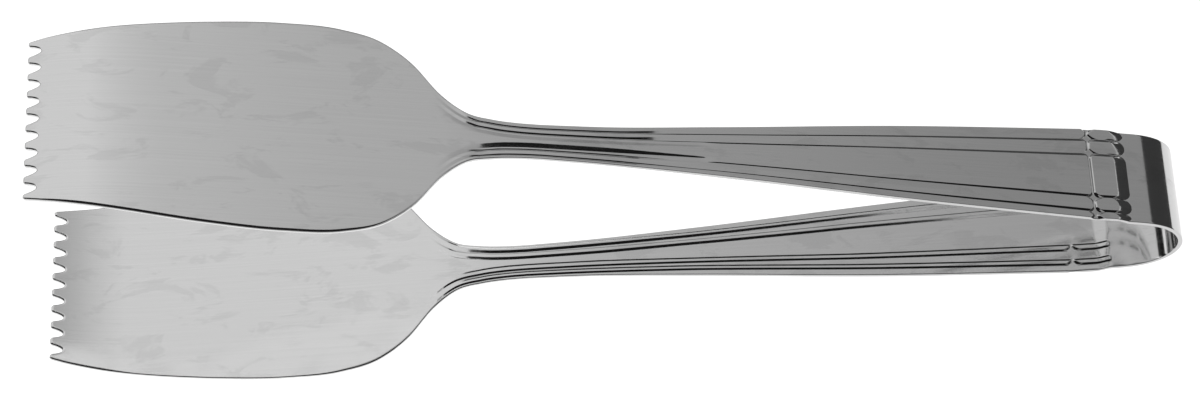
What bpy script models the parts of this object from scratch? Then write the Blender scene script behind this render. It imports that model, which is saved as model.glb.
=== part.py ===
"""Salad tongs stamped and bent from one strip of stainless steel, lying on their lower arm.

The strip is modelled in the zones of its stamped pattern: two toothed heads, two ribbed
handles, two short ribbed blocks behind a cross groove, and the two halves of the spring bow.
Metres, +Z up. The lower arm lies on Z = 0, its length runs along X with the bow at +X, and the
whole is symmetric about Y = 0. The upper arm is the lower one mirrored about the middle plane,
which leaves the bow's end at half the angle between the arms.

Along an arm, u is the distance from below the bow's end towards the teeth, y runs across, and
v is the height above the outer face, towards the other arm. Round the bow, s is the distance
from its end along the middle plane, and n is the distance off that plane.
"""

import math

import bmesh
import bpy
import numpy as np
from mathutils import Matrix, Vector

# Strip
STRIP_THICKNESS = 0.001
JOIN_GAP = 0.0003
ARM_ANGLE = math.radians(7.5)

# Spring bow: plain strip, bent to a blunt half ellipse that runs straight into both arms
BOW_DEPTH = 0.01265
BOW_HALF_HEIGHT = 0.0092
BOW_WIDTH = 0.0214
BOW_DROP = 0.00095
BOW_POWER = 2.6

# Block and handle, whose ribs are pressed outwards from the plain strip
BLOCK_LENGTH = 0.0085
BLOCK_WIDTH = 0.0214
BLOCK_RAMP = 0.0027
RAMP_POWER = 1.25
HANDLE_LENGTH = 0.1168
NECK_WIDTH = 0.008
CROSS_GROOVE_WIDTH = 0.0008
GROOVE_DEPTH = 0.00045
RIB_END = 0.0016
BEAD_HEIGHT = 0.00025
BEAD_WIDTH = 0.0007
EDGE_ROUND = 0.00025
NECK_LIFT = 0.0005

# Head: the blade and its teeth, as long as it is before the tips are curled inwards
HEAD_LENGTH = 0.1039
HEAD_WIDTH = 0.0476
TIP_WIDTH = 0.0358
TOOTH_DEPTH = 0.0028
TOOTH_COUNT = 10
CURL_LENGTH = 0.0202
CURL_ANGLE = math.radians(24.3)

# Rib pattern across the strip, from the middle (0) to the edge (1)
INNER_GROOVE_SHARE = 0.46
OUTER_GROOVE_SHARE = 0.785
NECK_RELIEF_SHARE = 0.45
PANEL_FLAT_SHARE = 0.72
PANEL_POWER = 2
RIB_POWER = 2.2

# Taper of the handle, from the neck (0) to the cross groove (1)
TAPER_STATION_SHARES = (0.0, 0.1, 0.32, 0.66, 1.0)
TAPER_WIDTH_SHARES = (0.0, 0.045, 0.27, 0.698, 1.0)

# Outline of the head, from the neck (0) to the tooth tips (1). A width share of 0 is the neck's
# width and 1 is the head's greatest width, and the last two stations run to the tips' width.
HEAD_STATION_SHARES = (0.0, 0.045, 0.095, 0.15, 0.197, 0.252, 0.31, 0.39, 0.505, 0.65, 0.8)
HEAD_WIDTH_SHARES = (0.0, 0.005, 0.027, 0.0945, 0.281, 0.621, 0.847, 0.97, 1.0, 0.956, 0.865)

# One tooth, from valley to valley across and from valley to tip along
TOOTH_ACROSS_SHARES = (-0.5, -0.43, -0.35, -0.28, -0.24, -0.17, -0.06, 0.06, 0.17, 0.24, 0.28, 0.35, 0.43)
TOOTH_REACH_SHARES = (0.0, 0.07, 0.27, 0.56, 0.8, 0.95, 1.0, 1.0, 0.95, 0.8, 0.56, 0.27, 0.07)
END_TOOTH_SHARE = 0.125

# Lift of the neck off the line that the arm rests on, from the bow (0) to the tips (1)
LIFT_START_SHARE = 0.27
LIFT_END_SHARE = 0.85

# Fineness of the solids
BOW_STEPS = 14
HANDLE_STEPS = 26
RIB_STEPS = 4
BLADE_STEPS = 8
CURL_STEPS = 8
SHOULDER_SHARES = np.linspace(0.03, 0.4, 15)
BLADE_SHARES = np.linspace(0.45, 0.97, 8)


def smooth_through(stations, values, at):
    """Values read from a smooth curve through the stations, with the slopes of its neighbours."""
    stations, values = np.array(stations, float), np.array(values, float)
    slopes = np.gradient(values, stations)
    index = np.clip(np.searchsorted(stations, at) - 1, 0, len(stations) - 2)
    span = stations[index + 1] - stations[index]
    share = (at - stations[index]) / span
    rise = values[index + 1] - values[index]
    start, end = slopes[index] * span, slopes[index + 1] * span
    bend = share * share * (3 - 2 * share)
    return (
        values[index]
        + rise * bend
        + start * share * (1 - share) ** 2
        - end * share * share * (1 - share)
    )


def bow_line(turn):
    """(s, n) of the bow's outer face, from its end (turn 0) to where it meets the arm."""
    back = math.cos(turn)
    s = BOW_DEPTH * (1 - back)
    return s, BOW_HALF_HEIGHT * math.sqrt(1 - back**BOW_POWER) + s * math.tan(ARM_ANGLE)


# The bow runs into the arm's plain face, below the rib crowns that the arm rests on, which gives
# these places.
bow_turns = [math.pi / 2 * step / BOW_STEPS for step in range(1, BOW_STEPS)]
bow_end_height = BOW_HALF_HEIGHT * math.cos(ARM_ANGLE) + BOW_DROP
block_u = BOW_DEPTH / math.cos(ARM_ANGLE) + BOW_HALF_HEIGHT * math.sin(ARM_ANGLE)
groove_u = block_u + BLOCK_LENGTH
neck_u = groove_u + HANDLE_LENGTH
tip_u = neck_u + HEAD_LENGTH
curl_u = tip_u - CURL_LENGTH
curl_radius = CURL_LENGTH / CURL_ANGLE
reach_u = curl_u + curl_radius * math.sin(CURL_ANGLE)
bow_overhang = max(
    n * math.sin(ARM_ANGLE) - s * math.cos(ARM_ANGLE) for s, n in map(bow_line, bow_turns)
)
middle_u = (reach_u - bow_overhang) / 2
pivot_place = Vector(
    (
        middle_u - STRIP_THICKNESS / 2 * math.cos(ARM_ANGLE),
        0,
        bow_end_height + STRIP_THICKNESS / 2 * math.sin(ARM_ANGLE),
    )
)


def half_width(u):
    """Half the strip's width at u, on the handle and on the head short of the teeth."""
    neck, tail = NECK_WIDTH / 2, BLOCK_WIDTH / 2
    if u <= neck_u:
        back = np.clip((neck_u - u) / HANDLE_LENGTH, 0, 1)
        share = smooth_through(TAPER_STATION_SHARES, TAPER_WIDTH_SHARES, back)
        return neck + (tail - neck) * share
    along = (u - neck_u) / HEAD_LENGTH
    tip_share = (TIP_WIDTH - NECK_WIDTH) / (HEAD_WIDTH - NECK_WIDTH)
    stations = (*HEAD_STATION_SHARES, 1.0)
    shares = (*HEAD_WIDTH_SHARES, tip_share)
    return neck + (HEAD_WIDTH / 2 - neck) * smooth_through(stations, shares, along)


def lift(u):
    """Height of the outer face above the line that the arm rests on: one smooth low arch."""
    start, end = LIFT_START_SHARE * tip_u, LIFT_END_SHARE * tip_u
    turn = np.clip((u - start) / (end - start), 0, 1) * 2 * math.pi
    return NECK_LIFT * (1 - np.cos(turn)) / 2


def bent(u, y, v):
    """The place of a point of the flat strip once the neck is lifted and the tips are curled."""
    if u <= curl_u:
        return Vector((middle_u - u, y, v + lift(u)))
    turn = (u - curl_u) / curl_radius
    along = curl_u + (curl_radius - v) * math.sin(turn)
    return Vector((middle_u - along, y, curl_radius - (curl_radius - v) * math.cos(turn)))


def rib_relief(share):
    """Depth of the outer face below the rib crowns, as a share of the grooves' depth."""
    if share < INNER_GROOVE_SHARE:
        past_flat = share / INNER_GROOVE_SHARE - PANEL_FLAT_SHARE
        return max(0.0, past_flat / (1 - PANEL_FLAT_SHARE)) ** PANEL_POWER
    low, high = INNER_GROOVE_SHARE, OUTER_GROOVE_SHARE
    if share > OUTER_GROOVE_SHARE:
        low, high = OUTER_GROOVE_SHARE, 1
    return abs(2 * (share - low) / (high - low) - 1) ** RIB_POWER


def rib_columns():
    """Shares across one side of the strip, from the middle to the edge, each groove among them."""
    panel_end = (1 + PANEL_FLAT_SHARE) / 2
    panel = [0.0, PANEL_FLAT_SHARE * INNER_GROOVE_SHARE, panel_end * INNER_GROOVE_SHARE]
    bounds = (INNER_GROOVE_SHARE, OUTER_GROOVE_SHARE, 1.0)
    for low, high in zip(bounds, bounds[1:]):
        panel += [low + (high - low) * step / RIB_STEPS for step in range(RIB_STEPS)]
    return [*panel, 1.0]


def ribbed_section(width, relief, floor):
    """The strip's section as (y, v) points: ribs outside, beads inside, and rounded edges.

    relief scales the grooves and the beads. floor is the least depth of the outer face, which
    ends the ribs at a cross groove or at the plain bow, and the inner face drops by as much.
    """
    outer, inner = [], []
    for share in rib_columns():
        depth = max(rib_relief(share) * GROOVE_DEPTH * relief, floor)
        outer.append((share * width, depth))
        inner.append((share * (width - EDGE_ROUND), STRIP_THICKNESS + floor))
    bead = BEAD_HEIGHT * relief * max(0.0, 1 - floor / GROOVE_DEPTH)
    for groove in (INNER_GROOVE_SHARE, OUTER_GROOVE_SHARE):
        for index, (y, v) in enumerate(inner):
            off = (y - groove * width) / (BEAD_WIDTH / 2)
            if abs(off) < 1:
                inner[index] = (y, v + bead * (1 - off * off))
    edge = [(width, STRIP_THICKNESS + floor - EDGE_ROUND)]
    right = [*outer, *edge, *reversed(inner)]
    left = [(-y, v) for y, v in reversed(right[1:-1])]
    return [*right, *left]


def solid_through(name, rings):
    """A closed solid through the rings, each with as many points."""
    mesh = bpy.data.meshes.new(name)
    count = len(rings[0])
    faces = []
    for row in range(len(rings) - 1):
        for column in range(count):
            after = (column + 1) % count
            near, far = row * count, (row + 1) * count
            faces.append((near + column, far + column, far + after, near + after))
    faces.append(tuple(range(count)))
    faces.append(tuple(reversed(range((len(rings) - 1) * count, len(rings) * count))))
    mesh.from_pydata([point for ring in rings for point in ring], [], faces)
    return mesh


def cross_groove_floor(u):
    """Depth to which the ribs drop at the cross groove, in a quarter circle on either side."""
    near = np.clip(1 - (abs(u - groove_u) - CROSS_GROOVE_WIDTH / 2) / RIB_END, 0, 1)
    return GROOVE_DEPTH * (1 - math.sqrt(1 - near * near))


def ramp_floor(u):
    """Depth to which the block's ribs drop on their way to the plain bow."""
    near = np.clip(1 - (u - block_u) / BLOCK_RAMP, 0, 1)
    return BOW_DROP * near**RAMP_POWER


def ribbed_rings(stations):
    """Bent rings of the ribbed strip at the stations."""
    rings = []
    for u in stations:
        width = half_width(u)
        relief = NECK_RELIEF_SHARE + (1 - NECK_RELIEF_SHARE) * width * 2 / BLOCK_WIDTH
        floor = max(cross_groove_floor(u), ramp_floor(u))
        section = ribbed_section(width, relief, floor)
        rings.append([bent(u, y, v) for y, v in section])
    return rings


def handle_mesh():
    """Ribbed handle from the cross groove to the neck."""
    start, end = groove_u + JOIN_GAP / 2, neck_u - JOIN_GAP / 2
    rib_start = groove_u + CROSS_GROOVE_WIDTH / 2
    rounded = [rib_start + RIB_END * step / RIB_STEPS for step in range(RIB_STEPS)]
    plain = np.linspace(rib_start + RIB_END, end, HANDLE_STEPS)
    return solid_through("handle", ribbed_rings([start, *rounded, *plain]))


def block_mesh():
    """Short ribbed block between the cross groove and the bow, its ribs rounded at both ends."""
    start, end = block_u + JOIN_GAP / 2, groove_u - JOIN_GAP / 2
    rib_end = groove_u - CROSS_GROOVE_WIDTH / 2
    steps = [step / RIB_STEPS for step in range(RIB_STEPS + 1)]
    ramp = [block_u + BLOCK_RAMP * step for step in steps[1:]]
    rounded = [rib_end - RIB_END * step for step in reversed(steps)]
    return solid_through("block", ribbed_rings([start, *ramp, *rounded, end]))


def tooth_outline():
    """(u, y) points of the toothed end, from one outer tooth to the other."""
    pitch = TIP_WIDTH / (TOOTH_COUNT - 1 + 2 * END_TOOTH_SHARE)
    points = []
    for tooth in range(TOOTH_COUNT):
        middle = (tooth - (TOOTH_COUNT - 1) / 2) * pitch
        for across, reach in zip(TOOTH_ACROSS_SHARES, TOOTH_REACH_SHARES):
            first_flank = tooth == 0 and across < -END_TOOTH_SHARE
            last_flank = tooth == TOOTH_COUNT - 1 and across > END_TOOTH_SHARE
            if not first_flank and not last_flank:
                u = tip_u - TOOTH_DEPTH * (1 - reach)
                points.append((u, middle + across * pitch))
    return points


def head_mesh():
    """Flat toothed blade cut from its outline, then lifted at the neck and curled at the tips."""
    start = neck_u + JOIN_GAP / 2
    along = [start + share * (tip_u - start) for share in (0.0, *SHOULDER_SHARES, *BLADE_SHARES)]
    side = [(u, half_width(u)) for u in along]
    outline = [(u, -y) for u, y in side] + tooth_outline() + [(u, y) for u, y in reversed(side)]
    curve = bpy.data.curves.new("head outline", "CURVE")
    curve.dimensions = "2D"
    curve.fill_mode = "BOTH"
    curve.extrude = STRIP_THICKNESS / 2
    spline = curve.splines.new("POLY")
    spline.points.add(len(outline) - 1)
    spline.points.foreach_set("co", [c for u, y in outline for c in (u, y, 0, 1)])
    spline.use_cyclic_u = True
    drawn = bpy.data.objects.new("head outline", curve)
    bpy.context.scene.collection.objects.link(drawn)
    bpy.context.view_layer.update()
    evaluated = drawn.evaluated_get(bpy.context.evaluated_depsgraph_get())
    mesh = bpy.data.meshes.new_from_object(evaluated)
    bpy.data.objects.remove(drawn)

    plate = bmesh.new()
    plate.from_mesh(mesh)
    bmesh.ops.remove_doubles(plate, verts=plate.verts, dist=STRIP_THICKNESS / 100)
    cuts = [start + (curl_u - start) * step / BLADE_STEPS for step in range(1, BLADE_STEPS)]
    cuts += [curl_u + CURL_LENGTH * step / CURL_STEPS for step in range(CURL_STEPS)]
    for u in cuts:
        parts = [*plate.verts, *plate.edges, *plate.faces]
        bmesh.ops.bisect_plane(plate, geom=parts, plane_co=(u, 0, 0), plane_no=(1, 0, 0))
    for vertex in plate.verts:
        u, y, v = vertex.co
        vertex.co = bent(u, y, v + STRIP_THICKNESS / 2)
    bmesh.ops.recalc_face_normals(plate, faces=plate.faces)
    plate.to_mesh(mesh)
    plate.free()
    return mesh


def bow_mesh():
    """Half of the bow, from a square cut at its end to the block."""
    walls = [((0, JOIN_GAP / 2), (STRIP_THICKNESS, JOIN_GAP / 2))]
    for turn in bow_turns:
        s, n = bow_line(turn)
        back = math.cos(turn)
        rise = BOW_HALF_HEIGHT * BOW_POWER / 2 * back ** (BOW_POWER - 1)
        slope = rise / math.sqrt(1 - back**BOW_POWER) / BOW_DEPTH + math.tan(ARM_ANGLE)
        depth = STRIP_THICKNESS / math.hypot(slope, 1)
        walls.append(((s, n), (s + slope * depth, n - depth)))
    rings = []
    for wall in walls:
        places = []
        for s, n in wall:
            u = s * math.cos(ARM_ANGLE) + n * math.sin(ARM_ANGLE)
            v = bow_end_height - n * math.cos(ARM_ANGLE) + s * math.sin(ARM_ANGLE)
            places.append((middle_u - u, v))
        rings.append(places)
    end_x = middle_u - block_u + JOIN_GAP / 2
    rings.append([(end_x, BOW_DROP), (end_x, BOW_DROP + STRIP_THICKNESS)])
    side = BOW_WIDTH / 2
    corners = []
    for (outer_x, outer_z), (inner_x, inner_z) in rings:
        outer = [(outer_x, -side, outer_z), (outer_x, side, outer_z)]
        corners.append([*outer, (inner_x, side, inner_z), (inner_x, -side, inner_z)])
    return solid_through("bow", corners)


def polished_steel():
    """Stainless steel as it comes off a polishing wheel."""
    material = bpy.data.materials.new("polished stainless steel")
    material.use_nodes = True
    shader = material.node_tree.nodes["Principled BSDF"]
    shader.inputs["Base Color"].default_value = (0.60, 0.59, 0.58, 1)
    shader.inputs["Metallic"].default_value = 1
    shader.inputs["Roughness"].default_value = 0.2
    return material


def make_tongs():
    """Every zone of the lower arm, and its mirror image on the upper arm."""
    for old in list(bpy.data.objects):
        bpy.data.objects.remove(old)
    tongs = bpy.data.collections.new("salad tongs")
    bpy.context.scene.collection.children.link(tongs)
    steel = polished_steel()
    lower_arm = bpy.data.objects.new("lower_arm", None)
    upper_arm = bpy.data.objects.new("upper_arm", None)
    upper_arm.location = pivot_place
    tongs.objects.link(lower_arm)
    tongs.objects.link(upper_arm)
    normal = Vector((math.sin(ARM_ANGLE), 0, math.cos(ARM_ANGLE)))
    mirror = Matrix.Scale(-1, 4, normal) @ Matrix.Translation(-pivot_place)

    zones = {
        "head": head_mesh(),
        "handle": handle_mesh(),
        "end_block": block_mesh(),
        "bow_half": bow_mesh(),
    }
    for zone, mesh in zones.items():
        mesh.materials.clear()
        mesh.materials.append(steel)
        mirrored = mesh.copy()
        mirrored.transform(mirror)
        mirrored.flip_normals()
        for arm, shape in ((lower_arm, mesh), (upper_arm, mirrored)):
            shape.shade_smooth()
            shape.set_sharp_from_angle(angle=math.radians(30))
            piece = bpy.data.objects.new(arm.name.replace("arm", zone), shape)
            tongs.objects.link(piece)
            piece.parent = arm


make_tongs()
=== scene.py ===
"""Spring salad tongs of polished stainless steel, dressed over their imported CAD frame.

Metres, in the CAD's frame: the lower arm lies on Z = 0 with its bow at +X. Along an arm, u is the
distance from below the bow's end towards the teeth, y runs across, and v is the height above the
line that the arm rests on, towards the other arm.
"""

import math

import bpy
import numpy as np
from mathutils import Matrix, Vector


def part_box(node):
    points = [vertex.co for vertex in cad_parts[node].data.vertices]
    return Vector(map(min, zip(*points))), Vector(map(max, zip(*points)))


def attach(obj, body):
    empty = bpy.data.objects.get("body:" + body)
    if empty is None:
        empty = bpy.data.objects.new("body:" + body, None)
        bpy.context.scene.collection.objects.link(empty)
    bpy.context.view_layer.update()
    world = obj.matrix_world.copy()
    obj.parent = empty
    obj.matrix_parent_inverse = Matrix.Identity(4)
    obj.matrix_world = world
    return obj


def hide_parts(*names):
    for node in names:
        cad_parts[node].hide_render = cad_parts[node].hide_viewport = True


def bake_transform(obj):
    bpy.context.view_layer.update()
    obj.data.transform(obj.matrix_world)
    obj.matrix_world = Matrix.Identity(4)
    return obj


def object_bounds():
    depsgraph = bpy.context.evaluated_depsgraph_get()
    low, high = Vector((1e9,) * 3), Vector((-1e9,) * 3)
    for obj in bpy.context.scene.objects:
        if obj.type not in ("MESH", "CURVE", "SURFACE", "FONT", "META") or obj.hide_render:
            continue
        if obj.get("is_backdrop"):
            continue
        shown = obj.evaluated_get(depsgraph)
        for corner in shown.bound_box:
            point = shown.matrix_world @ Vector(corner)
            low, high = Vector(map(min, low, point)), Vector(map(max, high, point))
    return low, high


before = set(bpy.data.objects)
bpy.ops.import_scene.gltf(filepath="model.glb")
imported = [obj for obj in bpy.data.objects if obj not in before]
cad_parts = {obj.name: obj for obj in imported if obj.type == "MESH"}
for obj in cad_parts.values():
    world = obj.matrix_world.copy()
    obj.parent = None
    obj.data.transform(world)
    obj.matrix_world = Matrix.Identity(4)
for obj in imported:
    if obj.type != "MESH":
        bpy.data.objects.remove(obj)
cad_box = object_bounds()

# Toothed heads
# Two wide blades of 1 mm stainless strip, stamped with ten rounded teeth at the end. The blanks
# are polished lengthwise, their edges are tumbled round, and the tips are curled inwards.
STRIP_THICKNESS = 0.001
ARM_ANGLE = math.radians(7.5)
BOW_DEPTH = 0.01264
BOW_HALF_HEIGHT = 0.0092
BOW_DROP = 0.00095
STRIP_END_WIDTH = 0.0213
BLOCK_LENGTH = 0.0085
HANDLE_LENGTH = 0.1168
NECK_WIDTH = 0.008
NECK_LIFT = 0.0005
GROOVE_DEPTH = 0.00045
HEAD_LENGTH = 0.1039
HEAD_WIDTH = 0.04756
TIP_WIDTH = 0.0358
TOOTH_DEPTH = 0.0028
TOOTH_COUNT = 10
CURL_LENGTH = 0.0202
CURL_ANGLE = math.radians(24.3)
CURL_ONSET = 0.018
TOOTH_ROUND = 0.0005
ROUND_STATION_SHARES = (0.0, 0.14, 0.19, 0.34, 0.4, 0.5, 0.86, 0.93, 1.0)
OUTER_ROUNDS = (0.0002, 0.00035, 0.0007, 0.0007, 0.00095, 0.00095, 0.00095, 0.00095, TOOTH_ROUND)
INNER_ROUNDS = (0.0002, 0.0003, 0.0006, 0.0006, 0.00045, 0.0003, 0.0003, 0.00055, TOOTH_ROUND)
OUTER_EDGE_STEPS = 8
INNER_EDGE_STEPS = 4
OUTER_ROUND_SHARE = 0.55
INNER_ROUND_SHARE = 0.33
TAPER_STATION_SHARES = (0.0, 0.1, 0.32, 0.66, 1.0)
TAPER_WIDTH_SHARES = (0.0, 0.045, 0.27, 0.698, 1.0)
HEAD_STATION_SHARES = (0.0, 0.045, 0.095, 0.15, 0.197, 0.252, 0.31, 0.39, 0.505, 0.65, 0.8, 1.0)
HEAD_WIDTH_SHARES = (0.0, 0.005, 0.027, 0.0945, 0.281, 0.621, 0.847, 0.97, 1.0, 0.956, 0.865)
TOOTH_ACROSS_SHARES = (-0.5, -0.43, -0.35, -0.28, -0.24, -0.17, -0.06)
TOOTH_REACH_SHARES = (0.0, 0.07, 0.27, 0.56, 0.8, 0.95, 1.0)
END_TOOTH_SHARE = 0.125
END_CORNER_SHARE = 0.3
END_INSET = 0.0002
ROOT_MARGIN = 0.0012
LIFT_START_SHARE = 0.27
LIFT_END_SHARE = 0.85
CURL_STEPS = 2001
TOOTH_STEPS = 6001

bow_end_height = BOW_HALF_HEIGHT * math.cos(ARM_ANGLE) + BOW_DROP
block_u = BOW_DEPTH / math.cos(ARM_ANGLE) + BOW_HALF_HEIGHT * math.sin(ARM_ANGLE)
groove_u = block_u + BLOCK_LENGTH
neck_u = groove_u + HANDLE_LENGTH
tip_u = neck_u + HEAD_LENGTH
curl_u = tip_u - CURL_LENGTH
curl_radius = CURL_LENGTH / CURL_ANGLE
middle_u = curl_u + curl_radius * math.sin(CURL_ANGLE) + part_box("lower_head")[0].x


def smooth_through(stations, values, at):
    """Cubic curve through the stations, each with the slope of its neighbours, read at `at`."""
    stations, values = np.array(stations, float), np.array(values, float)
    slopes = np.gradient(values, stations)
    index = np.clip(np.searchsorted(stations, at) - 1, 0, len(stations) - 2)
    span = stations[index + 1] - stations[index]
    share = (at - stations[index]) / span
    start, end = slopes[index] * span, slopes[index + 1] * span
    rise = (values[index + 1] - values[index]) * share**2 * (3 - 2 * share)
    return values[index] + rise + start * share * (1 - share) ** 2 - end * share**2 * (1 - share)


def half_width(u):
    """Half the strip's width: the handle's taper up to the neck, then the head's outline."""
    neck, tail, head = NECK_WIDTH / 2, STRIP_END_WIDTH / 2, HEAD_WIDTH / 2
    back = np.clip((neck_u - u) / HANDLE_LENGTH, 0, 1)
    taper = neck + (tail - neck) * smooth_through(TAPER_STATION_SHARES, TAPER_WIDTH_SHARES, back)
    tip_share = (TIP_WIDTH - NECK_WIDTH) / (HEAD_WIDTH - NECK_WIDTH)
    along = np.clip((u - neck_u) / HEAD_LENGTH, 0, 1)
    blade = smooth_through(HEAD_STATION_SHARES, (*HEAD_WIDTH_SHARES, tip_share), along)
    return np.where(u <= neck_u, taper, neck + (head - neck) * blade)


def edge_rounds(u):
    """How far the edge is rounded over on the outer and on the inner face, at each station."""
    along = np.clip((u - neck_u) / HEAD_LENGTH, 0, 1)
    outer = np.interp(along, ROUND_STATION_SHARES, OUTER_ROUNDS)
    inner = np.interp(along, ROUND_STATION_SHARES, INNER_ROUNDS)
    return [outer, inner]


def lower_place(u, y, v):
    """Places on the lower arm: the neck lifts by half a cosine wave, and the tips curl on a curve
    whose bend grows evenly over the onset and then stays that of a circle."""
    start, end = LIFT_START_SHARE * tip_u, LIFT_END_SHARE * tip_u
    lift = NECK_LIFT * (1 - np.cos(np.clip((u - start) / (end - start), 0, 1) * 2 * math.pi)) / 2
    fine = np.linspace(curl_u - CURL_ONSET / 2, tip_u, CURL_STEPS)
    step = fine[1] - fine[0]
    bend = np.clip((fine - fine[0]) / CURL_ONSET, 0, 1) / curl_radius
    turns = np.cumsum(bend) * step
    runs, rises = np.cumsum(np.cos(turns)) * step, np.cumsum(np.sin(turns)) * step
    turn = np.interp(u, fine, turns, left=0)
    along = np.where(u > fine[0], fine[0] + np.interp(u, fine, runs), u)
    rise = np.interp(u, fine, rises, left=0)
    along = along - v * np.sin(turn)
    return np.stack([middle_u - along, y + 0 * along, lift + rise + v * np.cos(turn)], axis=-1)


def upper_place(places):
    """The mirror image of places in the plane through the bow's end at half the arms' angle."""
    normal = np.array([math.sin(ARM_ANGLE), 0, math.cos(ARM_ANGLE)])
    height = (places - np.array([middle_u, 0, bow_end_height])) @ normal
    return places - 2 * height[..., None] * normal


def edge_arc():
    """The edge's section from outer to inner face: two quarter ellipses, a short wall between.

    Gives each step's share of the way out and of the wall, and whether the outer round has it.
    """
    outer_turn = np.linspace(0, math.pi / 2, OUTER_EDGE_STEPS + 1)[1:]
    inner_turn = np.linspace(0, math.pi / 2, INNER_EDGE_STEPS + 1)[:-1]
    out_share = np.concatenate([np.sin(outer_turn), np.cos(inner_turn)])
    roll = OUTER_ROUND_SHARE * (1 - np.cos(outer_turn))
    burr = 1 - INNER_ROUND_SHARE * (1 - np.sin(inner_turn))
    on_outer = np.arange(len(out_share)) < OUTER_EDGE_STEPS
    return out_share, np.concatenate([roll, burr]), on_outer


def ring_through(y_outer, y_inner, outer, inner, rounds):
    """Closed rings round the strip: outer face, one edge, inner face back again, other edge.

    rounds holds how far the edge stands past the outer and the inner columns, row by row.
    """
    out_share, wall_share, on_outer = edge_arc()
    round_outer, round_inner = rounds
    sides = []
    for column, sign in ((-1, 1), (0, -1)):
        base = np.where(on_outer, y_outer[:, column, None], y_inner[:, column, None])
        reach = np.where(on_outer, round_outer[:, None], round_inner[:, None])
        wall = inner[:, column, None] - outer[:, column, None]
        edge_y = base + sign * reach * out_share
        sides.append((edge_y, outer[:, column, None] + wall * wall_share))
    ring_y = np.hstack([y_outer, sides[0][0], y_inner[:, ::-1], sides[1][0][:, ::-1]])
    ring_v = np.hstack([outer, sides[0][1], inner[:, ::-1], sides[1][1][:, ::-1]])
    return ring_y, ring_v


def ring_faces(rows, count):
    """Four-sided faces between neighbouring closed rings, as corner numbers."""
    row, column = np.meshgrid(np.arange(rows - 1), np.arange(count), indexing="ij")
    near, far = row * count, (row + 1) * count
    after = (column + 1) % count
    corners = np.stack([near + column, far + column, far + after, near + after], axis=-1)
    return corners.reshape(-1, 4)


def steel_piece(name, places, strip_map, quads, caps):
    """A closed smooth mesh from places, four-sided faces and flat end caps with sharp borders.

    strip_map holds each place's distance along and across the strip, which becomes its UV.
    """
    mesh = bpy.data.meshes.new(name)
    loops = np.concatenate([quads.ravel(), *[np.asarray(cap) for cap in caps]])
    sizes = np.concatenate([np.full(len(quads), 4), [len(cap) for cap in caps]]).astype(int)
    mesh.vertices.add(len(places))
    mesh.vertices.foreach_set("co", places.astype(np.float32).ravel())
    mesh.loops.add(len(loops))
    mesh.loops.foreach_set("vertex_index", loops.astype(np.int32))
    mesh.polygons.add(len(sizes))
    mesh.polygons.foreach_set("loop_start", (np.cumsum(sizes) - sizes).astype(np.int32))
    mesh.update(calc_edges=True)
    mesh.polygons.foreach_set("use_smooth", np.ones(len(sizes), bool))
    uv = mesh.uv_layers.new(name="strip")
    uv.data.foreach_set("uv", strip_map[loops].astype(np.float32).ravel())
    edges = np.zeros(len(mesh.edges) * 2, np.int32)
    mesh.edges.foreach_get("vertices", edges)
    border = np.zeros(len(mesh.edges), bool)
    pairs = np.sort(edges.reshape(-1, 2), axis=1).astype(np.int64)
    edge_codes = pairs[:, 0] * len(places) + pairs[:, 1]
    for cap in caps:
        rim = np.sort(np.stack([cap, np.roll(cap, -1)], axis=1), axis=1)
        border |= np.isin(edge_codes, rim[:, 0] * len(places) + rim[:, 1])
    sharp = mesh.attributes.new("sharp_edge", "BOOLEAN", "EDGE")
    sharp.data.foreach_set("value", border)
    mesh.validate()
    piece = bpy.data.objects.new(name, mesh)
    bpy.context.scene.collection.objects.link(piece)
    return piece


def linear_colour(code):
    """Linear red, green, blue and alpha from an sRGB hex colour."""
    share = np.array([int(code[i : i + 2], 16) / 255 for i in (1, 3, 5)])
    linear = np.where(share <= 0.04045, share / 12.92, ((share + 0.055) / 1.055) ** 2.4)
    return (*linear.tolist(), 1.0)


def add_node(tree, kind, settings=(), links=()):
    """Adds a node, with its settings by property or socket name, and links into its sockets."""
    node = tree.nodes.new(kind)
    for key, value in dict(settings).items():
        if key in node.inputs:
            node.inputs[key].default_value = value
        else:
            setattr(node, key, value)
    for key, source in dict(links).items():
        tree.links.new(source, node.inputs[key])
    return node


STRIP_TONE = "#c9c9c9"
BLADE_TONE = "#dfdfdf"
TONE_ONSET = 0.012
TONE_RUN = 0.02
SCRATCH_LENGTH = 0.04
SCRATCH_SPACING = 0.0003
SCRATCH_DEPTH = 0.00002
SCRATCH_BUMP_SHARE = 0.06
MARK_LENGTH = 0.014
MARK_WIDTH = 0.006
# Noise between the first two values turns to a value between the last two.
NOISE_RANGE = ("From Min", "From Max", "To Min", "To Max")
POLISH_ROUGHNESS = (0.3, 0.7, 0.07, 0.13)
MARK_ROUGHNESS = (0.5, 0.75, 0.0, 0.08)
STREAK_SHADES = (0.3, 0.7, 0.96, 1.02)
FILM_SHADES = (0.54, 0.6, 1.0, 0.93)


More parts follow.
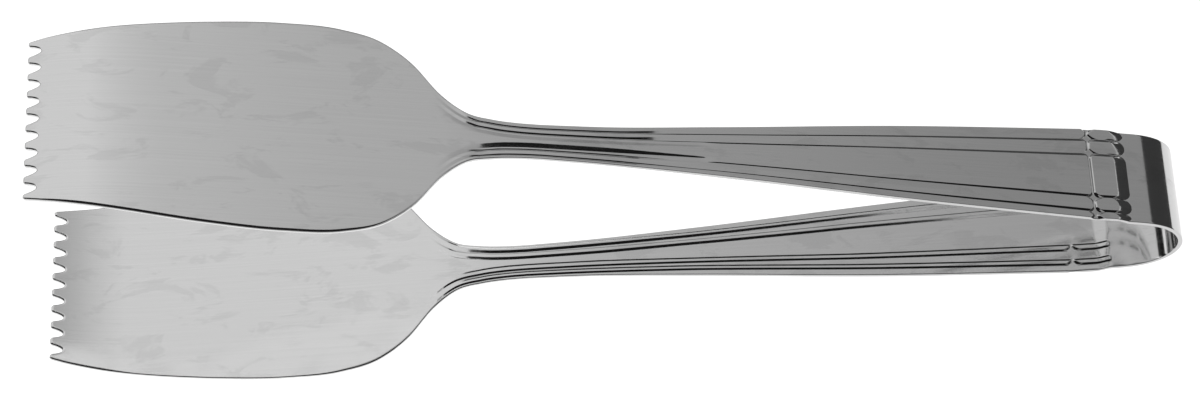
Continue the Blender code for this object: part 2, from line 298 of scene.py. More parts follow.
def polished_stainless():
    """Stainless steel off a fine wheel: a soft mirror, drawn out along the strip.

    The wheel's scratches are a few hundredths of a millimetre apart. They are drawn 0.3 mm apart
    and 40 mm long, so that they show as faint streaks. Dried water leaves duller marks about
    14 mm long with a thin grey film. The handles' steel is coloured a little darker than the
    blades', blended over the neck.
    """
    material = bpy.data.materials.new("polished_stainless")
    material.use_nodes = True
    tree = material.node_tree
    shader = tree.nodes["Principled BSDF"]
    shader.inputs["Metallic"].default_value = 1.0
    strip = add_node(tree, "ShaderNodeUVMap", {"uv_map": "strip"}).outputs["UV"]
    stretch = add_node(
        tree,
        "ShaderNodeMapping",
        {"Scale": (1 / SCRATCH_LENGTH, 1 / SCRATCH_SPACING, 1)},
        {"Vector": strip},
    )
    lines = add_node(
        tree,
        "ShaderNodeTexNoise",
        {"Scale": 1.0, "Detail": 3.0, "Roughness": 0.6},
        {"Vector": stretch.outputs["Vector"]},
    )
    spread = add_node(
        tree,
        "ShaderNodeMapping",
        {"Scale": (1 / MARK_LENGTH, 1 / MARK_WIDTH, 1)},
        {"Vector": strip},
    )
    marks = add_node(
        tree,
        "ShaderNodeTexNoise",
        {"Scale": 1.0, "Detail": 5.0, "Roughness": 0.65, "Distortion": 0.6},
        {"Vector": spread.outputs["Vector"]},
    )
    dulled = add_node(
        tree,
        "ShaderNodeMapRange",
        zip(NOISE_RANGE, MARK_ROUGHNESS),
        {"Value": marks.outputs["Fac"]},
    )
    rough = add_node(
        tree,
        "ShaderNodeMapRange",
        zip(NOISE_RANGE, POLISH_ROUGHNESS),
        {"Value": lines.outputs["Fac"]},
    )
    total = add_node(
        tree,
        "ShaderNodeMath",
        {"operation": "ADD"},
        {0: rough.outputs[0], 1: dulled.outputs[0]},
    )
    bump = add_node(
        tree,
        "ShaderNodeBump",
        {"Strength": SCRATCH_BUMP_SHARE, "Distance": SCRATCH_DEPTH},
        {"Height": lines.outputs["Fac"]},
    )
    along = add_node(tree, "ShaderNodeSeparateXYZ", (), {"Vector": strip}).outputs["X"]
    distance = add_node(tree, "ShaderNodeMath", {"operation": "ABSOLUTE"}, {0: along})
    blade = add_node(
        tree,
        "ShaderNodeMapRange",
        {"From Min": neck_u - TONE_ONSET, "From Max": neck_u + TONE_RUN},
        {"Value": distance.outputs[0]},
    )
    tone = add_node(
        tree,
        "ShaderNodeMix",
        {"data_type": "RGBA", "A": linear_colour(STRIP_TONE), "B": linear_colour(BLADE_TONE)},
        {"Factor": blade.outputs[0]},
    )
    streaks = add_node(
        tree,
        "ShaderNodeMapRange",
        zip(NOISE_RANGE, STREAK_SHADES),
        {"Value": lines.outputs["Fac"]},
    )
    film = add_node(
        tree,
        "ShaderNodeMapRange",
        zip(NOISE_RANGE, FILM_SHADES),
        {"Value": marks.outputs["Fac"]},
    )
    dimmed = add_node(
        tree,
        "ShaderNodeMath",
        {"operation": "MULTIPLY"},
        {0: streaks.outputs[0], 1: film.outputs[0]},
    )
    colour = add_node(
        tree,
        "ShaderNodeVectorMath",
        {"operation": "SCALE"},
        {0: tone.outputs["Result"], "Scale": dimmed.outputs[0]},
    )
    tree.links.new(colour.outputs["Vector"], shader.inputs["Base Color"])
    tree.links.new(total.outputs[0], shader.inputs["Roughness"])
    tree.links.new(bump.outputs["Normal"], shader.inputs["Normal"])
    return material


steel = polished_stainless()


def dress(piece, body, *nodes):
    """Gives a piece its steel and its body, and lets it stand for its CAD node."""
    piece.data.materials.append(steel)
    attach(piece, body)
    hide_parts(*nodes)


PATTERN_FOCUS_SHARES = (0.38, 0.52, 0.75, 0.82)
FOCUS_WEIGHT = 2.0
FOCUS_SPREAD_SHARE = 0.08
FOCUS_STEPS = 4001
# The pattern's sizes are given at these stations, from the neck at 0 to the cross groove at 1.
PATTERN_STATION_SHARES = (0.0, 0.14, 0.285, 0.31, 0.6, 1.0)
GROOVE_SIDE = -1
GROOVE_SHIFTS = (0.0002, 0.00025, 0.0003, 0.0003, 0.00038, 0.00035)
GROOVE_BIASES = (0.0, 0.0, 0.3, 0.3, 0.3, 0.22)
INNER_PLACE_SHARES = (0.45, 0.445, 0.43, 0.43, 0.455, 0.492)
OUTER_PLACE_SHARES = (0.765, 0.765, 0.76, 0.76, 0.776, 0.814)
INNER_PANEL_WALLS = (0.00091, 0.00091, 0.00035, 0.00034, 0.00038, 0.00065)
INNER_RIB_WALLS = (0.0008, 0.0009, 0.0016, 0.0017, 0.0018, 0.0024)
INNER_DEPTH_SHARES = (1.05, 1.05, 0.4, 0.385, 0.43, 0.736)
OUTER_PANEL_WALLS = (0.0008, 0.0008, 0.00035, 0.00034, 0.00038, 0.00065)
OUTER_RIB_WALLS = (0.00072, 0.00085, 0.0013, 0.0013, 0.0014, 0.0018)
OUTER_DEPTH_SHARES = (0.91, 0.91, 0.4, 0.385, 0.43, 0.736)
RIB_DROP_SHARES = (0.6, 0.6, 0.15, 0.12, 0.0, 0.0)
BEVEL_WALLS = (0.001, 0.00095, 0.0004, 0.0003, 0.0003, 0.0003)
BEVEL_LEDGES = (0.0005, 0.00066, 0.0009, 0.0009, 0.0009, 0.0009)
BEVEL_DEPTH_SHARES = (0.79, 0.76, 0.32, 0.0, 0.0, 0.0)
INNER_BEAD_SHARES = (0.355, 0.36, 0.39, 0.395, 0.45, 0.47)
OUTER_BEAD_SHARES = (0.735, 0.735, 0.71, 0.71, 0.75, 0.795)
INNER_BEAD_HALVES = (0.00054, 0.00054, 0.00047, 0.00047, 0.0005, 0.0006)
OUTER_BEAD_HALVES = (0.00042, 0.00042, 0.00042, 0.00042, 0.00045, 0.00055)
BEAD_PANEL_SIDE = ((-0.0003, 0.0003), (0.0, 1.0))
BEAD_EDGE_SIDE = ((-0.00018, 0.00018), (1.0, 0.0))
BEAD_HEIGHT = 0.00028
GROOVE_RUN_OUT = (0.009, 0.0135, 0.0215)
GROOVE_RUN_OUT_SHARES = (1.0, 0.72, 0.0)
BEVEL_RUN_OUT = (0.008, 0.0125, 0.0165)
BEVEL_RUN_OUT_SHARES = (1.0, 0.85, 0.0)
BEAD_RUN_OUT = (0.0125, 0.016, 0.021)
BEAD_RUN_OUT_SHARES = (1.0, 0.8, 0.0)
RUN_OUT_END = 0.0215
COLUMN_TURN = 0.03
KEPT_COLUMNS_SHARE = 0.72
HEAD_ROWS = 160
EVEN_ROWS_SHARE = 0.45
HEAD_COLUMNS = 260
TOOTH_ROWS = 14


def at_station(back, values):
    """Values along the handle, read between the pattern's stations from neck to cross groove."""
    return np.interp(back, PATTERN_STATION_SHARES, values)


def off_line(u, y, back, places):
    """Distance out from the line at these shares of the width. Past the neck the line keeps an
    even distance to the edge, measured square to it."""
    width = half_width(u)
    share = at_station(back, places)
    lean = np.where(u > neck_u, np.sqrt(1 + np.gradient(width[:, 0], u[:, 0])[:, None] ** 2), 1.0)
    line = np.where(u > neck_u, width - (1 - share) * NECK_WIDTH / 2 * lean, share * width)
    return (np.abs(y) - line) / lean


def groove_depth(off, back, bias, panel_walls, rib_walls, depths):
    """Share of the groove's depth: a V, steep on the panel's side, slow to rise on the rib's."""
    walls = np.where(off < 0, at_station(back, panel_walls), at_station(back, rib_walls))
    near = np.clip(1 - np.abs(off) / (bias * walls), 0, 1)
    return bias * at_station(back, depths) * near


def groove_pattern(u, y):
    """Depth of the outer face below the panel.

    Two grooves run along each side. Towards the neck the ribs lie lower, and a bevel runs along
    the panel. The press has struck all a little off the middle, and deeper on the side that it
    shifted them from.
    """
    back = np.clip((neck_u - u) / HANDLE_LENGTH, 0, 1)
    y = y - at_station(back, GROOVE_SHIFTS) * GROOVE_SIDE
    bias = 1 - at_station(back, GROOVE_BIASES) * np.sign(y) * GROOVE_SIDE
    off = off_line(u, y, back, INNER_PLACE_SHARES)
    inner_walls = (INNER_PANEL_WALLS, INNER_RIB_WALLS)
    inner = groove_depth(off, back, bias, *inner_walls, INNER_DEPTH_SHARES)
    sloping = 1 - (-off - at_station(back, BEVEL_LEDGES)) / at_station(back, BEVEL_WALLS)
    bevel = np.clip(sloping, 0, 1) * at_station(back, BEVEL_DEPTH_SHARES)
    lowered = np.where(off < 0, bevel, at_station(back, RIB_DROP_SHARES))
    off = off_line(u, y, back, OUTER_PLACE_SHARES)
    outer_walls = (OUTER_PANEL_WALLS, OUTER_RIB_WALLS)
    outer = groove_depth(off, back, bias, *outer_walls, OUTER_DEPTH_SHARES)
    run_out = np.interp(u - neck_u, GROOVE_RUN_OUT, GROOVE_RUN_OUT_SHARES)
    depth = np.maximum(inner, outer) * run_out
    lowered = lowered * np.interp(u - neck_u, BEVEL_RUN_OUT, BEVEL_RUN_OUT_SHARES)
    return GROOVE_DEPTH * np.maximum(depth, lowered)


def bead_pattern(u, y):
    """Height of the beads on the inner face: flat tops between straight flanks, the one on the
    panel's side less steep."""
    back = np.clip((neck_u - u) / HANDLE_LENGTH, 0, 1)
    height = np.zeros(np.broadcast(u, y).shape)
    for places, halves in (
        (INNER_BEAD_SHARES, INNER_BEAD_HALVES),
        (OUTER_BEAD_SHARES, OUTER_BEAD_HALVES),
    ):
        off = off_line(u, y, back, places)
        half = at_station(back, halves)
        to_panel = np.interp(off + half, *BEAD_PANEL_SIDE)
        to_edge = np.interp(off - half, *BEAD_EDGE_SIDE)
        height = np.maximum(height, np.minimum(to_panel, to_edge))
    return height * BEAD_HEIGHT * np.interp(u - neck_u, BEAD_RUN_OUT, BEAD_RUN_OUT_SHARES)


def column_shares(count, focus):
    """Shares across the strip from -1 to 1, drawn together by a bell curve round each share in
    focus."""
    fine = np.linspace(-1, 1, FOCUS_STEPS)
    weight = np.ones_like(fine)
    for share in focus:
        weight += FOCUS_WEIGHT * np.exp(-(((np.abs(fine) - share) / FOCUS_SPREAD_SHARE) ** 2))
    total = np.cumsum(weight)
    total = (total - total[0]) / (total[-1] - total[0])
    return np.interp(np.linspace(0, 1, count + 1), total, fine)


def tooth_line():
    """(u, y) of the toothed end: the tooth profile repeated across, in even steps of length."""
    pitch = TIP_WIDTH / (TOOTH_COUNT - 1 + 2 * END_TOOTH_SHARE)
    rise = np.array(TOOTH_ACROSS_SHARES)
    across = np.concatenate([rise, -rise[::-1]])
    reach = np.array([*TOOTH_REACH_SHARES, *TOOTH_REACH_SHARES[::-1]])
    last_y = TIP_WIDTH / 2 - END_INSET
    fine_y = np.linspace(-last_y, last_y, TOOTH_STEPS)
    place = fine_y / pitch + (TOOTH_COUNT - 1) / 2 + 0.5
    within = place - np.floor(place) - 0.5
    height = np.clip(smooth_through(across, reach, within), 0, 1)
    end = (TOOTH_COUNT - 1) / 2 * pitch
    height = np.where(np.abs(fine_y) > end, 1.0, height)
    corner = np.clip((np.abs(fine_y) - end) / (TIP_WIDTH / 2 - end), 0, 1)
    height = height - END_CORNER_SHARE * corner**3
    fine_u = tip_u - TOOTH_DEPTH * (1 - height)
    length = np.concatenate([[0], np.cumsum(np.hypot(np.diff(fine_u), np.diff(fine_y)))])
    even = np.linspace(0, length[-1], HEAD_COLUMNS + 1)
    return np.interp(even, length, fine_u), np.interp(even, length, fine_y)


def blade_columns(rows_u, end_shares, rounds):
    """Places across for each row: near the neck the outer columns keep their distance from the
    edge and the middle ones spread, and towards the teeth all go over to the end's shares."""
    neck = NECK_WIDTH / 2
    at_neck = column_shares(HEAD_COLUMNS, PATTERN_FOCUS_SHARES) * neck
    kept = KEPT_COLUMNS_SHARE * neck
    width = half_width(rows_u)[:, None]
    lean = np.sqrt(1 + np.gradient(width[:, 0], rows_u)[:, None] ** 2)
    inside = np.abs(at_neck) < neck - kept
    spread = np.abs(at_neck) / (neck - kept) * (width - kept * lean)
    by_edge = np.sign(at_neck) * np.where(inside, spread, width - (neck - np.abs(at_neck)) * lean)
    by_share = end_shares * width
    turn = np.clip((rows_u - neck_u - RUN_OUT_END) / COLUMN_TURN, 0, 1)[:, None]
    turn = turn**2 * (3 - 2 * turn)
    places = by_edge * (1 - turn) + by_share * turn
    return places * (width - rounds[:, None]) / width


def blade_sheet():
    """The blade's grid, its rounded edges and its toothed end, on the lower arm.

    Straight rows run from the neck to the teeth's roots. From there the rows bend little by
    little into the tooth line, drawn in by the edge's round, which then closes the teeth.
    """
    line_u, line_y = tooth_line()
    slope_u, slope_y = np.gradient(line_u), np.gradient(line_y)
    size = np.hypot(slope_u, slope_y)
    out_u, out_y = slope_y / size, -slope_u / size
    in_u, in_y = line_u - TOOTH_ROUND * out_u, line_y - TOOTH_ROUND * out_y
    root_u = tip_u - TOOTH_DEPTH - ROOT_MARGIN
    steps = np.linspace(0, 1, HEAD_ROWS)
    row_shares = EVEN_ROWS_SHARE * steps + (1 - EVEN_ROWS_SHARE) * steps**2
    rows_u = neck_u + (root_u - neck_u) * row_shares
    round_outer, round_inner = edge_rounds(rows_u + (tip_u - root_u) * (rows_u > curl_u))
    bend = (np.arange(1, TOOTH_ROWS + 1) / TOOTH_ROWS)[:, None]
    sheets = []
    for rounds in (round_outer, round_inner):
        grid_y = blade_columns(rows_u, in_y / in_y[-1], rounds)
        sheets.append(np.vstack([grid_y, grid_y[-1] + (in_y - grid_y[-1]) * bend]))
    grid_u = np.repeat(rows_u[:, None], HEAD_COLUMNS + 1, axis=1)
    grid_u = np.vstack([grid_u, root_u + (in_u - root_u) * bend])
    tail = np.full(TOOTH_ROWS, TOOTH_ROUND)
    rounds = [np.concatenate([round_outer, tail]), np.concatenate([round_inner, tail])]
    outer = groove_pattern(grid_u, sheets[0])
    inner = STRIP_THICKNESS + bead_pattern(grid_u, sheets[1])
    ring_y, ring_v = ring_through(sheets[0], sheets[1], outer, inner, rounds)
    out_share, wall_share, on_outer = edge_arc()
    steps_round = len(out_share)
    ends = [np.repeat(grid_u[:, [column]], steps_round, axis=1) for column in (-1, 0)]
    ring_u = np.hstack([grid_u, ends[0], grid_u[:, ::-1], ends[1]])
    rows, count = ring_u.shape
    quads = ring_faces(rows, count)
    tip_arc_u = in_u[1:-1, None] + TOOTH_ROUND * out_u[1:-1, None] * out_share
    tip_arc_y = in_y[1:-1, None] + TOOTH_ROUND * out_y[1:-1, None] * out_share
    tip_arc_v = STRIP_THICKNESS * wall_share + 0 * tip_arc_u
    last_row = (rows - 1) * count
    columns = HEAD_COLUMNS + 1
    arc = rows * count + np.arange((columns - 2) * steps_round).reshape(columns - 2, steps_round)
    right = last_row + columns + np.arange(steps_round)
    left = last_row + 2 * columns + steps_round + np.arange(steps_round)[::-1]
    outer_row = last_row + np.arange(columns)
    inner_row = last_row + columns + steps_round + np.arange(columns)[::-1]
    lattice = np.hstack([outer_row[:, None], np.vstack([left, arc, right]), inner_row[:, None]])
    corners = (lattice[:-1, :-1], lattice[:-1, 1:], lattice[1:, 1:], lattice[1:, :-1])
    quads = np.vstack([quads, np.stack(corners, axis=-1).reshape(-1, 4)])
    flat_u = np.concatenate([ring_u.ravel(), tip_arc_u.ravel()])
    flat_y = np.concatenate([ring_y.ravel(), tip_arc_y.ravel()])
    flat_v = np.concatenate([ring_v.ravel(), tip_arc_v.ravel()])
    return flat_u, flat_y, flat_v, quads, np.arange(count)


def both_arms(zone, piece_name, u, y, v, quads, caps):
    """Makes a zone's piece on the lower arm and its mirror image on the upper one."""
    places = lower_place(u, y, v)
    strip_map = np.stack([u, y], axis=-1)
    lower = steel_piece("lower_" + piece_name, places, strip_map, quads, caps)
    dress(lower, "lower_arm", "lower_" + zone)
    turned = [np.asarray(cap)[::-1] for cap in caps]
    strip_map = np.stack([-u, y], axis=-1)
    places = upper_place(places)
    upper = steel_piece("upper_" + piece_name, places, strip_map, quads[:, ::-1], turned)
    dress(upper, "upper_arm", "upper_" + zone)


blade_u, blade_y, blade_v, blade_quads, blade_cap = blade_sheet()
both_arms("head", "toothed_blade", blade_u, blade_y, blade_v, blade_quads, [blade_cap])

# Ribbed handles
# The same strip narrows to the neck. A press has drawn two ribs along each side of a flat middle
# panel: narrow grooves outside, with raised beads behind them inside.
RIB_END = 0.00026
RIB_END_POWER = 1.5
RIB_CORNER = 0.0011
RIB_CORNER_SPREAD = 2.5
CORNER_REACH = 0.001
INNER_RAMP = 0.0034
FINE_LENGTH = 0.004
FINE_ROWS = 40
HANDLE_ROWS = 170
HANDLE_COLUMNS = 190


def groove_distance(u, y):
    """Distance across from each place to the nearer groove, or to the edge on the outer rib."""
    back = np.clip((neck_u - u) / HANDLE_LENGTH, 0, 1)
    struck = y - at_station(back, GROOVE_SHIFTS) * GROOVE_SIDE
    inner = np.abs(off_line(u, struck, back, INNER_PLACE_SHARES))
    outer = np.abs(off_line(u, struck, back, OUTER_PLACE_SHARES))
    return np.minimum(np.minimum(inner, outer), half_width(u) - np.abs(y))


def rib_height(u, y, ends):
    """How much of a rib stands at each place, from 0 at its end to 1.

    Each end is (place, half its flat, length of the ramp, radius of the rib's corners, how much
    longer the ramp is at the corners, power). The height is 1 less that power of the share of
    the ramp that is still ahead.
    """
    height = np.ones(np.broadcast(u, y).shape)
    for place, flat, ramp, corner, spread, power in ends:
        near_groove = np.clip(1 - groove_distance(u, y) / corner, 0, 1)
        pillow = corner * (1 - np.sqrt(1 - near_groove**2))
        at_corner = np.clip(1 - groove_distance(u, y) / CORNER_REACH, 0, 1)
        slant = ramp * (1 + spread * at_corner)
        near = np.clip(1 - (np.abs(u - place) - flat - pillow) / slant, 0, 1)
        height = np.minimum(height, 1 - near**power)
    return height


def ribbed_strip(rows_u, columns, ends, inner_ends):
    """Closed rings of the ribbed strip: grooves and beads across, ribs ended along."""
    width = half_width(rows_u)
    shares = column_shares(columns, PATTERN_FOCUS_SHARES)
    rounds = edge_rounds(rows_u)
    y_outer, y_inner = (shares * (width - edge)[:, None] for edge in rounds)
    u = np.repeat(rows_u[:, None], columns + 1, axis=1)
    height = rib_height(u, y_outer, ends)
    drop = end_drop(u)
    outer = drop - (drop - groove_pattern(u, y_outer)) * height
    height = rib_height(u, y_inner, inner_ends)
    rise = np.clip(1 - (u - block_u) / INNER_RAMP, 0, 1)
    rise = BOW_DROP * rise**2 * (3 - 2 * rise)
    inner = STRIP_THICKNESS + rise + bead_pattern(u, y_inner) * height
    ring_y, ring_v = ring_through(y_outer, y_inner, outer, inner, rounds)
    rows, count = ring_y.shape
    ring_u = np.repeat(rows_u[:, None], count, axis=1)
    caps = [np.arange(count), ((rows - 1) * count + np.arange(count))[::-1]]
    return ring_u.ravel(), ring_y.ravel(), ring_v.ravel(), ring_faces(rows, count), caps


def end_drop(u):
    """Depth of the plain strip below the rib crowns: from the cross groove's, in a straight line,
    to the bow's."""
    to_bow = np.clip((groove_u - u) / (groove_u - block_u), 0, 1)
    return GROOVE_DEPTH + (BOW_DROP - GROOVE_DEPTH) * to_bow


groove_end = (groove_u, 0.0, RIB_END, RIB_CORNER, RIB_CORNER_SPREAD, RIB_END_POWER)
fine_rows = np.linspace(groove_u, groove_u + FINE_LENGTH, FINE_ROWS + 1)[:-1]
plain_rows = np.linspace(groove_u + FINE_LENGTH, neck_u, HANDLE_ROWS - FINE_ROWS)
handle_rows = np.concatenate([fine_rows, plain_rows])
handle = ribbed_strip(handle_rows, HANDLE_COLUMNS, [groove_end], [groove_end])
both_arms("handle", "ribbed_handle", *handle)

# End blocks
# Behind a pressed cross groove the ribs of the same steel strip go on for a short block, whose
# pillow-shaped ends drop to the plain strip of the bow. Block, handle and bow are one strip.
CROSS_GROOVE_WIDTH = 0.00036
BLOCK_START = 0.0004
BLOCK_START_POWER = 1.1
BLOCK_START_CORNER = 0.0013
BLOCK_RAMP = 0.0031
BLOCK_RAMP_POWER = 1.2
BLOCK_END_CORNER = 0.0017
BEAD_END = 0.0006
BEAD_CORNER = 0.00026
BLOCK_ROWS = 110

groove_side = (
    groove_u,
    CROSS_GROOVE_WIDTH / 2,
    BLOCK_START,
    BLOCK_START_CORNER,
    RIB_CORNER_SPREAD,
    BLOCK_START_POWER,
)
bow_side = (block_u, 0.0, BLOCK_RAMP, BLOCK_END_CORNER, 0.0, BLOCK_RAMP_POWER)
inner_bow_side = (block_u, 0.0, BEAD_END, BEAD_CORNER, 0.0, RIB_END_POWER)
outer_ends = [groove_side, bow_side]
inner_ends = [groove_side, inner_bow_side]
block_rows = np.linspace(block_u, groove_u, BLOCK_ROWS)
block = ribbed_strip(block_rows, HANDLE_COLUMNS, outer_ends, inner_ends)
both_arms("end_block", "ribbed_end_block", *block)

# Spring bow
# The plain end of the steel strip between the arms, bent cold into a blunt U. It is the spring
# that holds the arms apart.
BOW_POWER = 2.6
BOW_ROWS = 121
BOW_STEPS = 4001
BOW_COLUMNS = 60


def bow_rings():
    """Rings round the bow's strip, from the lower block round to the upper one.

    The outer line is a blunt half ellipse. As an angle turns from 0 to 90 degrees, it goes in from
    the bow's end by the depth times 1 less the cosine, and off the middle plane by the height
    times the square root of 1 less a power of the cosine. It slants out to run into both arms.
    """
    turn = np.linspace(0, math.pi / 2, BOW_ROWS // 2 + 1)
    fine = np.linspace(0, math.pi / 2, BOW_STEPS)
    s = BOW_DEPTH * (1 - np.cos(fine))
    n = BOW_HALF_HEIGHT * np.sqrt(1 - np.cos(fine) ** BOW_POWER) + s * math.tan(ARM_ANGLE)
    length = np.concatenate([[0], np.cumsum(np.hypot(np.diff(s), np.diff(n)))])
    even = turn / (math.pi / 2) * length[-1]
    s, n = np.interp(even, length, s), np.interp(even, length, n)
    s, n = np.concatenate([s[:0:-1], s]), np.concatenate([-n[:0:-1], n])
    slope_s, slope_n = np.gradient(s), np.gradient(n)
    slope_s[0], slope_n[0] = -math.cos(ARM_ANGLE), math.sin(ARM_ANGLE)
    slope_s[-1], slope_n[-1] = math.cos(ARM_ANGLE), math.sin(ARM_ANGLE)
    size = np.hypot(slope_s, slope_n)
    in_s, in_n = slope_n / size, -slope_s / size
    shares = np.linspace(-1, 1, BOW_COLUMNS + 1)
    width = STRIP_END_WIDTH / 2
    rounds = edge_rounds(np.zeros(len(s)))
    y_outer, y_inner = (shares * (width - edge)[:, None] for edge in rounds)
    outer, inner = np.zeros_like(y_outer), np.full_like(y_inner, STRIP_THICKNESS)
    ring_y, depth = ring_through(y_outer, y_inner, outer, inner, rounds)
    place_s = s[:, None] + in_s[:, None] * depth
    place_n = n[:, None] + in_n[:, None] * depth
    u = place_s * math.cos(ARM_ANGLE) - place_n * math.sin(ARM_ANGLE)
    v = bow_end_height + place_n * math.cos(ARM_ANGLE) + place_s * math.sin(ARM_ANGLE)
    along = np.cumsum(np.hypot(np.gradient(s), np.gradient(n)))
    map_u = np.repeat((along.mean() - along)[:, None], ring_y.shape[1], axis=1)
    strip_map = np.stack([map_u, ring_y], axis=-1)
    return np.stack([middle_u - u, ring_y, v], axis=-1), strip_map


bow_places, bow_map = bow_rings()
bow_rows, bow_count = bow_places.shape[:2]
bow_cap = np.arange(bow_count)
bow_caps = [bow_cap, ((bow_rows - 1) * bow_count + bow_cap)[::-1]]
bow_quads = ring_faces(bow_rows, bow_count)
bow_places, bow_map = bow_places.reshape(-1, 3), bow_map.reshape(-1, 2)
bow = steel_piece("spring_bow", bow_places, bow_map, bow_quads, bow_caps)
bow.data.materials.append(steel)
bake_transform(bow)
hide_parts("lower_bow_half", "upper_bow_half")

# Table top
# A plain pale table of laminate, lit so brightly that it shows white. It lies a hair below the
# tongs, so that the flat of the lower arm and the table never share a plane.
FLOOR_SIZE = 6.0
FLOOR_DROP = 0.0002
FLOOR_TONE = "#a0a0a0"


def flat_sheet(name, corners):
    """A flat face through four corners."""
    mesh = bpy.data.meshes.new(name)
    mesh.from_pydata(corners, [], [(0, 1, 2, 3)])
    sheet = bpy.data.objects.new(name, mesh)
    bpy.context.scene.collection.objects.link(sheet)
    return sheet


half = FLOOR_SIZE / 2
floor_sides = ((-half, -half), (half, -half), (half, half), (-half, half))
floor = flat_sheet("table_top", [(x, y, -FLOOR_DROP) for x, y in floor_sides])
floor_paint = bpy.data.materials.new("white_table_laminate")
floor_paint.use_nodes = True
floor_shader = floor_paint.node_tree.nodes["Principled BSDF"]
floor_shader.inputs["Base Color"].default_value = linear_colour(FLOOR_TONE)
floor_shader.inputs["Roughness"].default_value = 0.9
floor_shader.inputs["Specular IOR Level"].default_value = 0.0
floor_shader.inputs["Emission Color"].default_value = (1, 1, 1, 1)
floor_shader.inputs["Emission Strength"].default_value = 1.0
floor.data.materials.append(floor_paint)
floor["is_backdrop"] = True

# Paper backdrop
# A roll of white paper stands in a ring round the table, out of the light. It only closes the view
# behind the tongs, and neither lights them nor shows in their polish.
BACKDROP_RADIUS = 3.0
BACKDROP_HEIGHT = 1.5
BACKDROP_STEPS = 96


def paper_ring():
    """Places and faces of an upright wall: two rows of points, evenly spaced round a circle."""
    turn = np.linspace(0, 2 * math.pi, BACKDROP_STEPS, endpoint=False)
    circle = np.stack([np.cos(turn), np.sin(turn)], axis=-1) * BACKDROP_RADIUS
    heights = np.repeat([0.0, BACKDROP_HEIGHT], BACKDROP_STEPS)[:, None]
    places = np.hstack([np.tile(circle, (2, 1)), heights])
    near = np.arange(BACKDROP_STEPS)
    after = (near + 1) % BACKDROP_STEPS
    return places, np.stack([near, near + BACKDROP_STEPS, after + BACKDROP_STEPS, after], axis=-1)


ring_places, ring_walls = paper_ring()
backdrop_mesh = bpy.data.meshes.new("paper_backdrop")
backdrop_mesh.from_pydata(ring_places.tolist(), [], ring_walls.tolist())
backdrop = bpy.data.objects.new("paper_backdrop", backdrop_mesh)
backdrop.visible_diffuse = False
backdrop.visible_glossy = False
backdrop.visible_shadow = False
bpy.context.scene.collection.objects.link(backdrop)
backdrop_mesh.materials.append(floor_paint)
backdrop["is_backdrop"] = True

# Studio light and camera
# One wide soft panel hangs over the table behind the tongs, brightest at the heads' end. Low panels
# in front and at both sides light the tongs' flanks, and a long lens looks down from the front.
CEILING_STOPS = (
    (-0.1, 0.79),
    (0.05, 0.63),
    (0.09, 0.575),
    (0.15, 0.52),
    (0.21, 0.486),
    (0.28, 0.446),
    (0.42, 0.365),
)
CEILING_PLACE = (0.2, 0.785, 0.5)
CEILING_SIZE = (2.8, 1.63)
LOW_STOPS = ((-2.0, 0.42), (2.0, 0.42))
LOW_PANELS = (
    ("front_panel", (0, -1.5, 0.52), (90, 0, 0), (3.3, 0.74)),
    ("left_panel", (-1.6, 0, 0.75), (0, -90, 0), (0.6, 1.6)),
    ("right_panel", (1.6, -0.1, 0.6), (0, 90, 0), (0.9, 2.8)),
)
FLAG_X = 0.19
FLAG_HEIGHT = 0.0735
FLAG_ENDS = (-0.3, 0.5)
FLAG_TONE = "#484848"
ROOM_GLOW = 0.013
FILM_WIDTH = 36.0
LENS_LENGTH = 103.776
CAMERA_PLACE = (0.025403, -0.335474, 0.670160)
CAMERA_TURN = (27.42901, 3.55096, -2.37348)


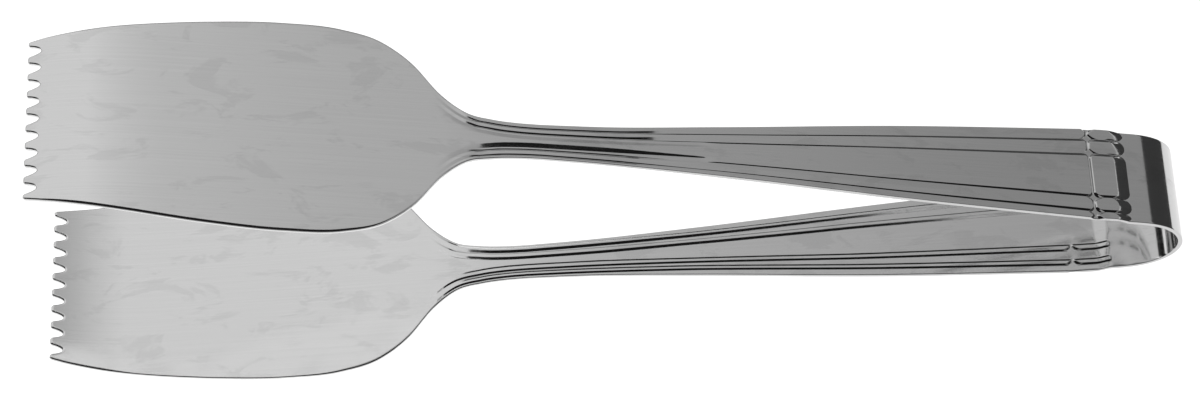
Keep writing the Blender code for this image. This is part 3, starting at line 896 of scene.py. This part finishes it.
def soft_panel(name, place, turn, size, stops):
    """A soft light facing down, then turned about X, Y and Z in degrees. Its power is pi times its
    area, so that its radiance is the one of the stops, each (x in metres, radiance)."""
    light = bpy.data.lights.new(name, "AREA")
    light.shape = "RECTANGLE"
    light.size, light.size_y = size
    light.energy = math.pi * size[0] * size[1]
    light.use_nodes = True
    tree = light.node_tree
    glow = tree.nodes["Emission"]
    spot = add_node(tree, "ShaderNodeNewGeometry").outputs["Position"]
    across = add_node(tree, "ShaderNodeSeparateXYZ", (), {"Vector": spot}).outputs["X"]
    low, high = stops[0][0], stops[-1][0]
    share = add_node(
        tree, "ShaderNodeMapRange", {"From Min": low, "From Max": high}, {"Value": across}
    )
    ramp = add_node(tree, "ShaderNodeValToRGB", (), {"Fac": share.outputs[0]})
    points = ramp.color_ramp.elements
    for index, (x, radiance) in enumerate(stops):
        point = points[index] if index < 2 else points.new(1)
        point.position = (x - low) / (high - low)
        point.color = (radiance, radiance, radiance, 1)
    tree.links.new(ramp.outputs["Color"], glow.inputs["Color"])
    lamp = bpy.data.objects.new(name, light)
    lamp.location = place
    lamp.rotation_euler = tuple(math.radians(angle) for angle in turn)
    lamp.visible_camera = False
    bpy.context.scene.collection.objects.link(lamp)


soft_panel("ceiling_panel", CEILING_PLACE, (0, 0, 0), CEILING_SIZE, CEILING_STOPS)
for panel_name, place, turn, size in LOW_PANELS:
    soft_panel(panel_name, place, turn, size, LOW_STOPS)

# A dark cloth stands past the bow's end, and draws the dark band on its outer face.
near_y, far_y = FLAG_ENDS
flag_sides = ((near_y, 0.0), (far_y, 0.0), (far_y, FLAG_HEIGHT), (near_y, FLAG_HEIGHT))
flag = flat_sheet("black_flag", [(FLAG_X, y, z) for y, z in flag_sides])
flag.visible_camera = False
flag_cloth = bpy.data.materials.new("black_velvet")
flag_cloth.use_nodes = True
cloth_shader = flag_cloth.node_tree.nodes["Principled BSDF"]
cloth_shader.inputs["Base Color"].default_value = linear_colour(FLAG_TONE)
cloth_shader.inputs["Roughness"].default_value = 1.0
flag.data.materials.append(flag_cloth)
flag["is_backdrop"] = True

room = bpy.data.worlds.new("dim_room")
room.use_nodes = True
room_colour = (ROOM_GLOW, ROOM_GLOW, ROOM_GLOW, 1)
room.node_tree.nodes["Background"].inputs["Color"].default_value = room_colour
bpy.context.scene.world = room
bpy.context.scene.view_settings.view_transform = "Standard"

lens = bpy.data.cameras.new("long_lens")
lens.sensor_width = FILM_WIDTH
lens.lens = LENS_LENGTH
camera = bpy.data.objects.new("long_lens", lens)
camera.location = CAMERA_PLACE
camera.rotation_euler = tuple(math.radians(angle) for angle in CAMERA_TURN)
bpy.context.scene.collection.objects.link(camera)
bpy.context.scene.camera = camera

sizes = {"cad": cad_box, "visual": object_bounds()}
sizes = {key: [[float(c) for c in corner] for corner in box] for key, box in sizes.items()}
